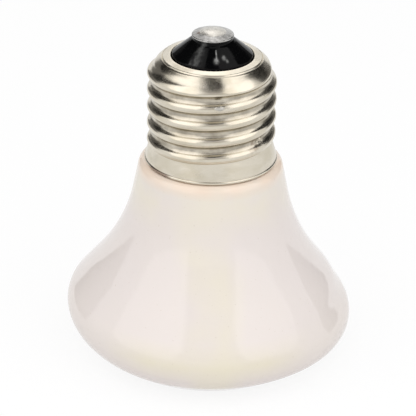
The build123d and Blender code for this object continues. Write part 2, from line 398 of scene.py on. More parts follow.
# %% [markdown]
# Rolled sheet isn't perfect. It waves by up to a tenth of a millimetre, which is what makes the bright lines
# on a real thread wander. A bump map would bend only the light, and moved points show on the edge as well.
# This cap was also scuffed low on the thread, right of the front: the plating is torn up in small pits.

# %% Wear on the sheet
sheet_waves = [(7 * mm, 0.09 * mm), (1.6 * mm, 0.02 * mm)]
scuff_turn = radians(-38)
scuff_height = 49.8 * mm
scuff_width = 1.2 * mm
scuff_rise = 0.7 * mm
scuff_depth = 0.8 * mm
scuff_grain = 0.28 * mm
scuff_spared = 0.35


def scuff(angle, height, point):
    """How deep the scuffed plating is pitted here, on the outside only."""
    along = ((angle - scuff_turn + pi) % (2 * pi) - pi) * thread_crest_radius
    near = exp(-((along / scuff_width) ** 2) - ((height - scuff_height) / scuff_rise) ** 2)
    return near * scuff_depth * max(0.0, waver(point, scuff_grain) - scuff_spared)


print("scuff", round(degrees(scuff_turn)), "degrees round,", round(scuff_height / mm, 1), "mm up")

# %% [markdown]
# The wall of the cap is a stack of rings from the skirt to the shoulder, one stack for each side of the
# sheet. The outside gets many rings, because its reflections show every step. The round parts above and
# below the wall wave with it, so that no seam shows.

# %% Rings of the cap
shell_spokes = 288
outside_rings = 30
inside_rings = 12


def beside(angle, height, radius=thread_crest_radius):
    """The point at this angle, height and radius round the axis."""
    return Vector((radius * cos(angle), radius * sin(angle), height))


def wall_ring(height, inset):
    """One ring up the wall, with the sheet's waves and, outside, its scuff."""

    def radius_at(angle):
        point = beside(angle, height)
        radius = shell_radius(angle, height, inset) - waves(point, sheet_waves)
        return radius - (scuff(angle, height, point) if inset == 0 else 0)

    return ring(radius_at, height, shell_spokes)


def wall(inset, rings_per_pitch):
    """The rings of one side of the wall, from the skirt to the shoulder."""
    length = wall_length + wall_end_rise
    count = round(length / thread_pitch * rings_per_pitch)
    return [wall_ring(skirt_start + length * step / count, inset) for step in range(count + 1)]


def round_rings(outline):
    """Rings of the cap where it has no thread, with the same waves as its wall."""
    rings = turned_rings(outline, shell_spokes)
    for point in chain(*rings):
        wave = waves(beside(atan2(point.y, point.x), point.z), sheet_waves)
        point.xy *= 1 - wave / hypot(point.x, point.y)
    return rings


outside_wall = wall(0, outside_rings)
inside_wall = wall(sheet, inside_rings)
print("wall", len(outside_wall), "rings outside and", len(inside_wall), "inside")

# %% [markdown]
# Above the thread the sheet goes over the dome, dips into a shallow groove and rises to the flat ring, which
# slopes a little outward. Its inner edge is folded down into the opening. The rim has a small rolled lip.
# Each part is a short outline of its own, because then each can be changed by itself.

# %% Outlines of the cap
lip_steps = 8
dome_steps = 4
groove_depth = 0.16 * mm
groove_steps = 12
ring_slope = 0.3
fold_radius = 0.35 * mm


def over_shoulder(radius):
    """The height of the dome at this radius."""
    return dome_centre.y + sqrt(dome_arc**2 - (radius - dome_centre.x) ** 2)


lip_turns = [pi * step / lip_steps for step in range(lip_steps)]
lip_outline = []
for turn in lip_turns:
    lip_outline.append((rim_radius + rim_lip * sin(turn), rim_bottom + 1.5 * rim_lip * (1 - cos(turn))))
lip_outline.append((rim_radius, rim_bottom + 3 * rim_lip))

dome_start = dome_at(shoulder_centre_height + wall_end_rise, 0)
dome_width = groove_start - dome_start
dome_radii = [dome_start + dome_width * step / dome_steps for step in range(1, dome_steps + 1)]
dome_outline = [(radius, over_shoulder(radius)) for radius in dome_radii]

groove_outline = []
for step in range(1, groove_steps + 1):
    share = step / groove_steps
    radius = groove_start - groove_width * share
    groove_outline.append((radius, over_shoulder(radius) - groove_depth * sin(pi * share) ** 2))

ring_tilt = atan(ring_slope)
fold_centre_radius = opening_radius + fold_radius
ring_inner_radius = fold_centre_radius + fold_radius * sin(ring_tilt)
ring_inner = (ring_inner_radius, ring_outer[1] + ring_slope * (ring_outer[0] - ring_inner_radius))
fold_centre = (fold_centre_radius, ring_inner[1] - fold_radius * cos(ring_tilt))
print("flat ring", round((ring_outer.x - ring_inner_radius) / mm, 2), "mm wide")

# %% [markdown]
# Now the cap goes together in one loop of rings: up the outside, over the top, through the opening and down
# the inside. A Solidify modifier could give the thickness, but it would fold over itself at the groove.

# %% Screw shell
ring_spacing = 0.15 * mm
fold_end = 240
fold_steps = 20
inner_arc_end = 72
inner_arc_steps = 5
shoulder_centre = (shoulder_centre_radius, shoulder_centre_height)
inner_arc = shoulder_radius - sheet
inner_arc_low = degrees(asin(wall_end_rise / inner_arc))
inner_rim_radius = rim_radius - sheet * hypot(1, skirt_slope)

shell_rings = [
    *round_rings(lip_outline),
    *outside_wall,
    *round_rings(dome_outline),
    *round_rings(groove_outline),
    *round_rings(evenly([ring_outer, ring_inner], ring_spacing)[1:-1]),
    *round_rings(arc(fold_centre, fold_radius, 90 - degrees(ring_tilt), fold_end, fold_steps)),
    *round_rings(arc(shoulder_centre, inner_arc, inner_arc_end, inner_arc_low, inner_arc_steps)[:-1]),
    *reversed(inside_wall),
    *round_rings([(inner_rim_radius, rim_bottom)]),
]
shell = skin("rolled_screw_shell", shell_rings, loop=True)

# %% [markdown]
# Each point of the mesh remembers how deep in a groove it lies, from 0 on a crest to 1 at a root. The
# plating uses it later to paint shade into the grooves, because a shader can't find out where the thread is.

# %% Grooves remembered
groove = shell.data.attributes.new("groove", "FLOAT", "POINT")
for point, mark in zip(shell.data.vertices, groove.data):
    reach = hypot(point.co.x, point.co.y)
    in_thread = smooth_step(point.co.z - skirt_start, thread_start_fade[0], thread_start_fade[1] + mm)
    in_thread *= 1 - smooth_step(point.co.z - shoulder_centre_height, -mm, 0)
    mark.value = in_thread * min(1.0, max(0.0, (thread_crest_radius - reach) / thread_depth))
print("groove marks", len(groove.data))

# %% [markdown]
# A black glass insulator fills the top of the cap. It was pressed while soft, so its cone has rounded edges.
# It takes its sizes from the cap with a small clearance, so that it always fits.

# %% Glass outline
glass_clearance = 0.2 * mm
glass_flange_drop = 1.1 * mm
glass_collar_rise = 0.57 * mm
glass_cone_slope = radians(40)
glass_neck_radius = 4.05 * mm
glass_cone_edge = 0.55 * mm
glass_neck_round = 0.3 * mm
glass_neck_length = 0.85 * mm
glass_bore_radius = 1.7 * mm
glass_spacing = 0.12 * mm
glass_rounds = [0.35 * mm, 0.5 * mm, 0.2 * mm]
flange_steps = 12

flange_arc = shoulder_radius - sheet - glass_clearance
flange_top_height = fold_centre[1] - fold_radius - glass_clearance
flange_top_turn = degrees(asin((flange_top_height - shoulder_centre_height) / flange_arc))
glass_underside = shoulder_centre_height - glass_flange_drop
collar_radius = opening_radius - glass_clearance
cone_foot = fold_centre[1] + glass_collar_rise
glass_cone_top_radius = glass_neck_radius + glass_cone_edge
glass_cone_top_height = cone_foot + (collar_radius - glass_cone_top_radius) * tan(glass_cone_slope)
contact_underside = glass_cone_top_height + glass_neck_length
glass_corners = [
    (collar_radius, flange_top_height),
    (collar_radius, cone_foot),
    (glass_cone_top_radius, glass_cone_top_height),
    (glass_neck_radius, glass_cone_top_height + glass_neck_round),
    (glass_neck_radius, contact_underside),
]
glass_outline = [
    *arc(shoulder_centre, flange_arc, 0, flange_top_turn, flange_steps),
    *evenly(rounded(glass_corners, glass_rounds, glass_spacing), 2 * glass_spacing),
    (glass_bore_radius, contact_underside),
    (glass_bore_radius, glass_underside),
    (shoulder_centre_radius + flange_arc, glass_underside),
]
print("glass outline", len(glass_outline), "points")

# %% [markdown]
# The mould left a thin raised seam down the front of the glass, with a small bead of glass at its foot and
# two specks beside it. They are raised from the mesh, since they catch the light at their edges. Pale painted
# highlights are laid on them too, and a ragged streak at the left is a painted reflection of a soft box. The
# mesh remembers both for the material.

# %% Marks on the glass
ripple_size = 1.8 * mm
ripple_depth = 0.05 * mm
seam_turn = radians(-82.5)
seam_reach = (4.9 * mm, 6.6 * mm)
seam_width = 0.10 * mm
seam_rise = 0.09 * mm
glass_beads = [
    (radians(-83.5), 6.75 * mm, 0.34 * mm, 0.16 * mm),
    (radians(-69), 6.3 * mm, 0.30 * mm, 0.10 * mm),
    (radians(-65), 6.9 * mm, 0.22 * mm, 0.08 * mm),
]
light_on_marks = 1.3
reflection_streak_turn = radians(-117)
reflection_streak_width = radians(6)
reflection_streak_reach = 7.9 * mm
reflection_streak_grain = 1.1 * mm
reflection_streak_stretch = 1.6
reflection_streak_raggedness = 2.2
reflection_streak_strength = 0.3


def glass_marks(point):
    """How far the seam or a bead stands out of the pressed glass here."""
    reach = hypot(point.x, point.y)
    rise = 0.0
    across = ((atan2(point.y, point.x) - seam_turn + pi) % (2 * pi) - pi) * reach
    if seam_reach[0] < reach < seam_reach[1]:
        rise += seam_rise * hump(across, seam_width)
    for turn, place, width, height in glass_beads:
        apart = hypot(point.x - place * cos(turn), point.y - place * sin(turn))
        rise += height * hump(apart, width)
    return rise


def glass_ripple(point):
    """How far the ripple of the pressed glass lies below its true cone here."""
    return ripple_depth * waver(Vector((point.x, point.y, point.z / 2)), ripple_size)


# Pale painted highlights on the seam and beads, and a painted reflection streak of a soft box at the left.
def glass_painted_light(point):
    """How much painted highlight and painted reflection the glass carries here, on its marks and in its
    streak.
    """
    painted_light = glass_marks(point) / seam_rise * light_on_marks
    ragged = waver(Vector((point.x, point.y, 0)) * reflection_streak_stretch, reflection_streak_grain) - 0.5
    along = (atan2(point.y, point.x) - reflection_streak_turn) / reflection_streak_width + reflection_streak_raggedness * ragged
    reflection_streak = hump(along, 1) * reflection_streak_strength if hypot(point.x, point.y) < reflection_streak_reach else 0.0
    return min(1.0, max(painted_light, reflection_streak))


print("beads on the glass", len(glass_beads))

# %% [markdown]
# The glass is turned like the bell. It has many spokes, because a seam a tenth of a millimetre wide needs
# points close together. Only its open side, above the collar, gets the ripple and the marks.

# %% Glass insulator
glass_spokes = 360
open_from = cone_foot - glass_spacing

glass_rings = turned_rings(glass_outline, glass_spokes)
for point in chain(*glass_rings):
    if point.z > open_from and hypot(point.x, point.y) > glass_neck_radius + glass_spacing:
        point.z += glass_marks(point) - glass_ripple(point)
glass = skin("black_glass_insulator", glass_rings, loop=True)
painted_light = glass.data.attributes.new("painted_light", "FLOAT", "POINT")
for point, mark in zip(glass.data.vertices, painted_light.data):
    mark.value = glass_painted_light(point.co) if point.co.z > open_from else 0.0
print("film marks", len(painted_light.data))

# %% [markdown]
# The centre contact is a pressed disc with a rounded edge and a short collar that holds it in the glass.
# Handling and a lamp holder's spring have dimpled it a little. A Bevel modifier could round its edge, but
# the outline already has the round.

# %% Centre contact
contact_radius = 4.2 * mm
contact_edge = 0.36 * mm
contact_rise = 0.5 * mm
contact_hole_radius = 1.2 * mm
contact_collar_length = 1.4 * mm
collar_wall = 0.4 * mm
solder_radius = 2.75 * mm
contact_spokes = 240
contact_spacing = 0.15 * mm
edge_spacing = 0.04 * mm
edge_share = 0.45
dimple_size = 1.2 * mm
dimple_depth = 0.03 * mm

contact_collar_radius = contact_hole_radius + collar_wall
contact_top = contact_underside + contact_edge + contact_rise
contact_rounds = [contact_edge * edge_share] * 3
contact_corners = [
    (contact_collar_radius, contact_underside),
    (contact_radius, contact_underside),
    (contact_radius, contact_underside + contact_edge),
    (solder_radius, contact_top),
    (contact_hole_radius, contact_top),
]
contact_outline = [
    (contact_hole_radius, contact_underside - contact_collar_length),
    (contact_collar_radius, contact_underside - contact_collar_length),
    *evenly(rounded(contact_corners, contact_rounds, edge_spacing), contact_spacing),
]
contact_rings = turned_rings(contact_outline, contact_spokes)
for point in chain(*contact_rings):
    if point.z > contact_underside + contact_edge / 2:
        point.z -= dimple_depth * waver(point, dimple_size)
contact = skin("contact_disc", contact_rings, loop=True)

# %% [markdown]
# The coil's wire comes up through the disc and is soldered there. Solder wets the metal and sets as a low
# dome with a thin, slightly ragged edge. It is made as a cap of a sphere and then made uneven, because a
# true dome would look stamped.

# %% Contact solder
solder_rise = 0.55 * mm
wire_radius = 0.35 * mm
wire_tip_rise = 0.35 * mm
solder_spokes = 200
solder_steps = 24
solder_lump_size = 2.2 * mm
solder_lump_depth = 0.08 * mm
solder_edge_swing = 0.05

blob_radius = (solder_radius**2 + solder_rise**2) / (2 * solder_rise)
blob_centre = (0, contact_top + solder_rise - blob_radius)
blob_low = degrees(acos(solder_radius / blob_radius))
wire_tip = contact_underside + wire_tip_rise
solder_outline = [
    (0, wire_tip),
    (wire_radius, wire_tip),
    (wire_radius, contact_underside),
    (contact_hole_radius, contact_underside),
    (contact_hole_radius, contact_top - dimple_depth),
    *arc(blob_centre, blob_radius, blob_low, 90, solder_steps)[:-1],
    (0, contact_top + solder_rise),
]
solder_rings = turned_rings(solder_outline, solder_spokes)
for point in chain(*solder_rings):
    if point.z >= contact_top:
        share = hypot(point.x, point.y) / solder_radius
        point.z -= solder_lump_depth * waver(point, solder_lump_size) * (1 - share**4)
        point.xy *= 1 - solder_edge_swing * share * waver(point, solder_lump_size / 2)
solder_dome = skin("solder_dome", solder_rings, loop=False)

# %% [markdown]
# The second wire is fused to the thread from outside, just right of the front. What shows is a small bright
# lump, flattened and faceted, that sits across one crest. It has no outline to turn, so a round blob is
# pushed about by noise for it.

# %% Side solder
side_below_shoulder = 2.6 * mm
side_lump_size = Vector((0.42 * mm, 1.15 * mm, 0.6 * mm))
side_lump_noise = 0.55
side_lump_grain = 0.9
side_lump_detail = 3
side_lump_rounds = 5

side_height = shoulder_centre_height - side_below_shoulder
lump_mesh = bmesh.new()
bmesh.ops.create_icosphere(lump_mesh, subdivisions=side_lump_rounds, radius=1)
seat = shell_radius(side_turn % (2 * pi), side_height, 0)
for point in lump_mesh.verts:
    rough = side_lump_noise * waver(point.co, side_lump_grain)
    local = point.co * (1 - rough * waver(point.co * side_lump_detail, side_lump_grain))
    local = Matrix.Rotation(side_turn, 3, "Z") @ (local * side_lump_size + Vector((seat, 0, 0)))
    point.co = local + Vector((0, 0, side_height))
side_lump = as_object("side_solder_lump", lump_mesh)
side_lump.data.shade_smooth()
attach(side_lump, "root")
print("side solder", len(side_lump.data.polygons), "faces,", round(seat / mm, 2), "mm from the axis")

# %% [markdown]
# Each detailed piece now stands for its CAD node. The cement and the two wires are inside the cap, where
# their plain CAD shapes are right, so those nodes stay.

# %% Pieces for nodes
for piece, node in (
    (bell, "ceramic_body"),
    (shell, "screw_shell"),
    (glass, "glass_insulator"),
    (contact, "centre_contact"),
    (solder_dome, "contact_solder"),
    (side_lump, "side_solder"),
):
    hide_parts(node)
print("kept CAD nodes", [name for name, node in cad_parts.items() if not node.hide_render])

# %% [markdown]
# A material is a small graph of nodes. It could be drawn by hand in the shader editor, but written out it can
# be read. One helper turns a paint chart's colour, from 0 to 255, into the light that it stands for, and one
# adds a node and connects it.


# %% Colours and nodes
def paint(red, green, blue):
    """A colour as a screen shows it, as the light that Blender works with."""
    parts = [part / 255 for part in (red, green, blue)]
    return (*[part / 12.92 if part <= 0.04045 else ((part + 0.055) / 1.055) ** 2.4 for part in parts], 1)


def add(tree, kind, inputs, **settings):
    """Adds a node. Each input gets a value, or a link if it is given another node's output."""
    made = tree.nodes.new(kind)
    for key, value in settings.items():
        setattr(made, key, value)
    for key, value in inputs.items():
        if isinstance(value, bpy.types.NodeSocket):
            tree.links.new(value, made.inputs[key])
        else:
            made.inputs[key].default_value = value
    return made


print("mid grey", round(paint(128, 128, 128)[0], 3))

# %% [markdown]
# A finish changes from place to place. These helpers say where, each with a number from 0 to 1. Nothing is
# painted on, so the finish fits every piece from every side.


# %% Where a finish changes
def place_on(tree):
    """The place of the surface point in the CAD frame."""
    return add(tree, "ShaderNodeTexCoord", {}).outputs["Object"]


def grain(tree, size, detail=3.0, stretch=(1, 1, 1)):
    """Noise whose spots are about this size in metres, longer along each axis by its stretch."""
    scale = [1 / (size * longer) for longer in stretch]
    mapped = add(tree, "ShaderNodeMapping", {"Vector": place_on(tree), "Scale": scale})
    inputs = {"Vector": mapped.outputs["Vector"], "Scale": 1.0, "Detail": detail}
    return add(tree, "ShaderNodeTexNoise", inputs).outputs["Fac"]


def span(tree, value, low, high, to_low=0.0, to_high=1.0):
    """Maps a number from one span to another, and stops at its ends."""
    inputs = {"Value": value, "From Min": low, "From Max": high, "To Min": to_low, "To Max": to_high}
    return add(tree, "ShaderNodeMapRange", inputs).outputs["Result"]


def patches(tree, size, low, high, to_low=0.0, to_high=1.0, **kind):
    """Patches of this size. The noise lies mostly from 0.3 to 0.7, and low and high cut their edges."""
    return span(tree, grain(tree, size, **kind), low, high, to_low, to_high)


def spot(tree, centre, outer, inner):
    """A round spot: 1 inside its inner radius, and 0 outside its outer one."""
    apart = add(tree, "ShaderNodeVectorMath", {0: place_on(tree), 1: centre}, operation="DISTANCE")
    return span(tree, apart.outputs["Value"], outer, inner)


def remembered(tree, name):
    """The number that the mesh remembers under this name."""
    return add(tree, "ShaderNodeAttribute", {}, attribute_name=name).outputs["Fac"]


print("a span stops at", span.__defaults__)

# %% [markdown]
# The last helpers mix what the others found. Relief by bump is only for what is too small to show in the
# outline. finish_of starts a material, and wire_up ends it.


# %% Mixing a finish
def blend(tree, share, first, second):
    """Mixes two colours by a share from 0 to 1."""
    made = add(tree, "ShaderNodeMix", {"Factor": share, 6: first, 7: second}, data_type="RGBA")
    return made.outputs[2]


def times(tree, first, second):
    """Multiplies two numbers."""
    return add(tree, "ShaderNodeMath", {0: first, 1: second}, operation="MULTIPLY").outputs[0]


def relief(tree, size, distance, strength, under=None, **kind):
    """Turns noise of this size into small relief, this deep, on top of other relief if there is any."""
    inputs = {"Height": grain(tree, size, **kind), "Distance": distance, "Strength": strength}
    if under is not None:
        inputs["Normal"] = under
    return add(tree, "ShaderNodeBump", inputs).outputs["Normal"]


def finish_of(name, slot=None, metallic=0.0, refraction=1.5):
    """A new material for a slot of the record, and its graph. The slot has its name if none is given."""
    made = bpy.data.materials.new(name)
    made.use_nodes = True
    shader = made.node_tree.nodes["Principled BSDF"]
    shader.inputs["Metallic"].default_value = metallic
    shader.inputs["IOR"].default_value = refraction
    made["slot"] = slot or name
    return made, made.node_tree


def wire_up(made, colour, roughness, normal):
    """Connects a material's colour, roughness and relief to its shader."""
    tree = made.node_tree
    shader = tree.nodes["Principled BSDF"]
    for name, output in (("Base Color", colour), ("Roughness", roughness), ("Normal", normal)):
        tree.links.new(output, shader.inputs[name])
    print(made.name, "has", len(tree.nodes), "nodes")


print("materials so far", len(bpy.data.materials))

# %% [markdown]
# The glaze is a clear, glossy skin over off-white ceramic. A flat off-white would look like plastic, so its
# colour drifts between a cool and a slightly yellow white in patches of a centimetre or two. It is yellower
# where it pooled above the lower edge and on the neck. Close to the cap a pale pinkish band is a painted
# highlight, where the rounded shoulder under the cap catches the light. It carries a fine orange peel and a
# few faint specks, and it is a little less glossy in places.

# %% Glaze
cool_white = paint(232, 223, 219)
warm_white = paint(235, 227, 213)
pooled_white = paint(232, 224, 202)
cap_highlight_colour = paint(240, 221, 203)
speck_colour = paint(205, 193, 176)
warm_reach = (3.5 * mm, 8 * mm)
pool_rise = (6 * mm, 9.5 * mm)
pool_fall = (14 * mm, 10 * mm)
pool_reach = (12 * mm, 21 * mm)
pool_strength = 0.8
neck_rise = (31 * mm, 37 * mm)
cap_highlight_rise = (39.5 * mm, 41.5 * mm)
speck_strength = 0.35

glaze, tree = finish_of("glaze", "glazed_ceramic", refraction=1.52)
sides = add(tree, "ShaderNodeSeparateXYZ", {"Vector": place_on(tree)})
height = sides.outputs["Z"]
across = add(tree, "ShaderNodeMath", {0: sides.outputs["X"]}, operation="ABSOLUTE").outputs[0]
drift = patches(tree, 17 * mm, 0.36, 0.6, detail=2.0)
drift = times(tree, drift, span(tree, across, *warm_reach, 1.0, 0.1))
colour = blend(tree, drift, cool_white, warm_white)
pool = times(tree, span(tree, height, *pool_rise), span(tree, height, *pool_fall))
pool = times(tree, pool, patches(tree, 11 * mm, 0.25, 0.5, 0.5, 1.0))
pool = times(tree, pool, span(tree, across, *pool_reach, 1.0, 0.1))
colour = blend(tree, times(tree, pool, pool_strength), colour, pooled_white)
near_neck = times(tree, span(tree, height, *neck_rise), patches(tree, 9 * mm, 0.35, 0.6, 0.3, 1.0))
colour = blend(tree, near_neck, colour, warm_white)
# Painted highlight: a pale pinkish band on the rounded shoulder just under the cap, where the light catches
# it.
cap_highlight = times(tree, span(tree, height, *cap_highlight_rise), patches(tree, 7 * mm, 0.3, 0.6, 0.5, 1.0))
colour = blend(tree, cap_highlight, colour, cap_highlight_colour)
specks = patches(tree, 0.55 * mm, 0.74, 0.78, detail=1.0)
colour = blend(tree, times(tree, specks, speck_strength), colour, speck_colour)
gloss = patches(tree, 6 * mm, 0.3, 0.7, 0.02, 0.06)
peel = relief(tree, 1.4 * mm, 0.03 * mm, 0.35, detail=2.0)
wire_up(glaze, colour, gloss, peel)

# %% [markdown]
# Nickel plate reflects nearly everything and tints it slightly yellow. Rolling and drawing leave fine lines
# that run round the cap. The grooves get painted shade, a brownish darkening towards their roots, so the
# crests stay bright, and dull stains drift over the rest. There is a brown stain beside the scuff, and the
# bottom of the rim is darker and browner at the left. All of it changes the metal's own colour: dirt on
# metal hides its shine, and the painted shade dims it the same way.

# %% Nickel plate
bright_nickel = paint(215, 208, 193)
dull_nickel = paint(205, 197, 179)
groove_shade_brown = paint(92, 83, 70)
scuff_brown = paint(120, 92, 66)
rim_brown = paint(96, 52, 38)
groove_shade_from = 0.66
groove_shade_strength = 0.55
scuff_stain_offset = Vector((-1.6 * mm, -1.2 * mm, -0.5 * mm))
scuff_stain_radii = (1.9 * mm, 0.5 * mm)
scuff_stain_strength = 0.6
rim_darkening_turn = radians(-141)
rim_darkening_radii = (3.9 * mm, 2.4 * mm)
rim_darkening_fall = (rim_bottom + 0.8 * mm, rim_bottom + 0.5 * mm)
rim_darkening_strength = 0.65

nickel, tree = finish_of("nickel", "nickel_plate", metallic=1.0)
dull = patches(tree, 5 * mm, 0.42, 0.66, detail=4.0, stretch=(1, 1, 0.5))
colour = blend(tree, dull, bright_nickel, dull_nickel)
# Painted shade: a brownish darkening towards the roots of the thread's grooves.
groove_shade = span(tree, remembered(tree, "groove"), groove_shade_from, 1.0)
groove_shade = times(tree, groove_shade, patches(tree, 2.5 * mm, 0.3, 0.65, 0.25, 1.0))
colour = blend(tree, times(tree, groove_shade, groove_shade_strength), colour, groove_shade_brown)
scuff_place = beside(scuff_turn, scuff_height) + scuff_stain_offset
scuff_stain = times(tree, spot(tree, scuff_place, *scuff_stain_radii), patches(tree, mm, 0.35, 0.6))
colour = blend(tree, times(tree, scuff_stain, scuff_stain_strength), colour, scuff_brown)
# Darker and browner along the bottom of the rim at the left.
rim_darkening = spot(tree, beside(rim_darkening_turn, rim_bottom, rim_radius), *rim_darkening_radii)
height = add(tree, "ShaderNodeSeparateXYZ", {"Vector": place_on(tree)}).outputs["Z"]
rim_darkening = times(tree, rim_darkening, span(tree, height, *rim_darkening_fall))
colour = blend(tree, times(tree, rim_darkening, rim_darkening_strength), colour, rim_brown)
gloss = patches(tree, 3 * mm, 0.3, 0.7, 0.16, 0.29, detail=4.0)
lines = relief(tree, 0.12 * mm, 0.004 * mm, 0.5, detail=2.0, stretch=(40, 40, 1))
dents = relief(tree, 0.9 * mm, 0.02 * mm, 0.35, under=lines)
wire_up(nickel, colour, gloss, dents)

# %% [markdown]
# The insulator is black glass. It has almost no colour of its own, so it shows only what it reflects, with
# a little dust, an uneven gloss, and the pale painted highlights and painted reflection streak that the mesh
# remembers. Its refraction is set low, because at the value of clean glass the lights would turn it grey.

# %% Black glass
glass_black = paint(7, 7, 8)
dust_grey = paint(48, 47, 45)
painted_light_grey = paint(138, 138, 136)
dust_strength = 0.15

black_glass, tree = finish_of("black_glass", refraction=1.18)
dust = patches(tree, 0.35 * mm, 0.58, 0.75, detail=4.0)
colour = blend(tree, times(tree, dust, dust_strength), glass_black, dust_grey)
# Painted highlights and a painted reflection streak, in pale grey, where the mesh remembers them.
pale_painted_light = times(tree, remembered(tree, "painted_light"), patches(tree, 0.5 * mm, 0.35, 0.6, 0.45, 1.0))
colour = blend(tree, pale_painted_light, colour, painted_light_grey)
gloss = patches(tree, 1.6 * mm, 0.35, 0.7, 0.05, 0.2, detail=4.0)
ripples = relief(tree, 0.7 * mm, 0.02 * mm, 0.4, detail=2.0)
wire_up(black_glass, colour, gloss, ripples)

# %% [markdown]
# The contact and the solder are softer, greyer metals. The disc has small scratches and one brown burn
# mark at its left. Solder is brighter and has a skin that wrinkled as it set. They are two materials and not
# one, because the edge between them is what makes the solder readable.

# %% Contact metal and solder
burn_place = Vector((-2.75, -0.7, 70.0)) * mm
burn_radii = (0.75 * mm, 0.2 * mm)
burn_strength = 0.85
burn_brown = paint(96, 72, 58)

contact_metal, tree = finish_of("contact_metal", metallic=1.0)
tone = patches(tree, 1.1 * mm, 0.38, 0.7, detail=4.0)
colour = blend(tree, tone, paint(184, 183, 181), paint(136, 135, 132))
burn = times(tree, spot(tree, burn_place, *burn_radii), burn_strength)
colour = blend(tree, burn, colour, burn_brown)
gloss = patches(tree, 0.8 * mm, 0.3, 0.7, 0.22, 0.36, detail=4.0)
scratches = relief(tree, 0.16 * mm, 0.004 * mm, 0.4, stretch=(9, 1, 1))
wire_up(contact_metal, colour, gloss, scratches)

solder, tree = finish_of("solder", metallic=1.0)
tone = patches(tree, 1.3 * mm, 0.4, 0.75, detail=4.0)
colour = blend(tree, tone, paint(205, 202, 195), paint(168, 165, 158))
gloss = patches(tree, 0.9 * mm, 0.3, 0.7, 0.24, 0.38)
wrinkles = relief(tree, 0.7 * mm, 0.01 * mm, 0.5)
wire_up(solder, colour, gloss, wrinkles)

# %% [markdown]
# Inside the cap there is a ring of pale, gritty cement, and two wires that the heat has dulled. They hardly
# show, but a repair drawing would need them right, so they are finished too.

# %% Cement and wires
cement, tree = finish_of("cement")
tone = grain(tree, 0.5 * mm, detail=5.0)
colour = blend(tree, span(tree, tone, 0.35, 0.7), paint(204, 197, 182), paint(160, 151, 136))
grit = relief(tree, 0.25 * mm, 0.08 * mm, 0.7, detail=5.0)
wire_up(cement, colour, span(tree, tone, 0.3, 0.7, 0.8, 0.95), grit)

lead_wire, tree = finish_of("lead_wire", metallic=1.0)
tone = grain(tree, 0.6 * mm, detail=4.0)
colour = blend(tree, span(tree, tone, 0.35, 0.7), paint(150, 145, 138), paint(92, 82, 74))
drawn = relief(tree, 0.08 * mm, 0.005 * mm, 0.5, detail=2.0, stretch=(1, 1, 12))
wire_up(lead_wire, colour, span(tree, tone, 0.3, 0.7, 0.3, 0.5), drawn)

# %% [markdown]
# Every piece gets its finish here, with the name of the record's slot that it stands for.

# %% Finishes on pieces
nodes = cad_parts
for piece, finish in (
    (bell, glaze),
    (shell, nickel),
    (glass, black_glass),
    (contact, contact_metal),
    (solder_dome, solder),
    (side_lump, solder),
    (nodes["cap_cement"], cement),
    (nodes["centre_lead"], lead_wire),
    (nodes["side_lead"], lead_wire),
):
    piece.data.materials.clear()
    piece.data.materials.append(finish)
    print(piece.name, "has", finish.name)

# %% [markdown]
# The floor is a plain white board. Seen by the camera, or in the metal and glass, it is as white as paper in
# the sun, because most of that is its own light. The rest is real shading, so the bell still grounds itself
# with a faint shadow. To everything else it is plain white board that throws light back up. More light on
# the set would turn it white too, but it would wash out the bell.

# %% Floor
floor_size = 4.0
floor_glow = 0.88
floor_shade = 0.13
board_white = (0.8, 0.8, 0.8, 1)
paper_white = paint(254, 254, 254)


def seen_directly(tree):
    """1 for what the camera sees, itself or in a reflection or through glass, and 0 for other light."""
    path = add(tree, "ShaderNodeLightPath", {})
    direct = add(tree, "ShaderNodeMath", {0: path.outputs["Is Camera Ray"], 1: path.outputs["Is Glossy Ray"]})
    through = path.outputs["Is Transmission Ray"]
    return add(tree, "ShaderNodeMath", {0: direct.outputs[0], 1: through}, use_clamp=True).outputs[0]


floor_mesh = bmesh.new()
bmesh.ops.create_grid(floor_mesh, x_segments=1, y_segments=1, size=floor_size / 2)
floor = as_object("floor", floor_mesh)
floor_paint = bpy.data.materials.new("floor_paint")
floor_paint.use_nodes = True
tree = floor_paint.node_tree
tree.nodes.clear()
board = add(tree, "ShaderNodeBsdfDiffuse", {"Color": board_white})
shaded = add(tree, "ShaderNodeBsdfDiffuse", {"Color": (floor_shade, floor_shade, floor_shade, 1)})
glow = add(tree, "ShaderNodeEmission", {"Color": paper_white, "Strength": floor_glow})
paper = add(tree, "ShaderNodeAddShader", {0: shaded.outputs[0], 1: glow.outputs[0]})
either = add(tree, "ShaderNodeMixShader", {0: seen_directly(tree), 1: board.outputs[0], 2: paper.outputs[0]})
add(tree, "ShaderNodeOutputMaterial", {"Surface": either.outputs[0]})
floor.data.materials.append(floor_paint)
print("floor", floor_size, "m")

# %% [markdown]
# The room round the set is white paper too. It lights the object softly from all sides, at a level where a
# colour looks as it is written, and shows as white where the camera or a reflection meets it.

# %% Room
room_light = 0.56
world = bpy.data.worlds.new("room")
world.use_nodes = True
scene.world = world
tree = world.node_tree
tree.nodes.clear()
fill = add(tree, "ShaderNodeBackground", {"Color": (1, 1, 1, 1), "Strength": room_light})
white = add(tree, "ShaderNodeBackground", {"Color": paper_white, "Strength": 1.0})
either = add(tree, "ShaderNodeMixShader", {0: seen_directly(tree), 1: fill.outputs[0], 2: white.outputs[0]})
add(tree, "ShaderNodeOutputWorld", {"Surface": either.outputs[0]})
print("room light", room_light)

# %% [markdown]
# Two large soft boxes left and right of the camera light the set. They are area lamps, because a large lamp
# close by gives the soft edges of a photographer's cloth box. The polished metal doesn't see them: what it
# shows is set up by itself, in the next step.

# %% Soft boxes
middle = Vector((0, 0, 0.045))
box_distance = 0.75
box_size = (0.95, 1.0)
box_power = 2.65
boxes = {"left_box": (-51, 45), "right_box": (52, 45)}


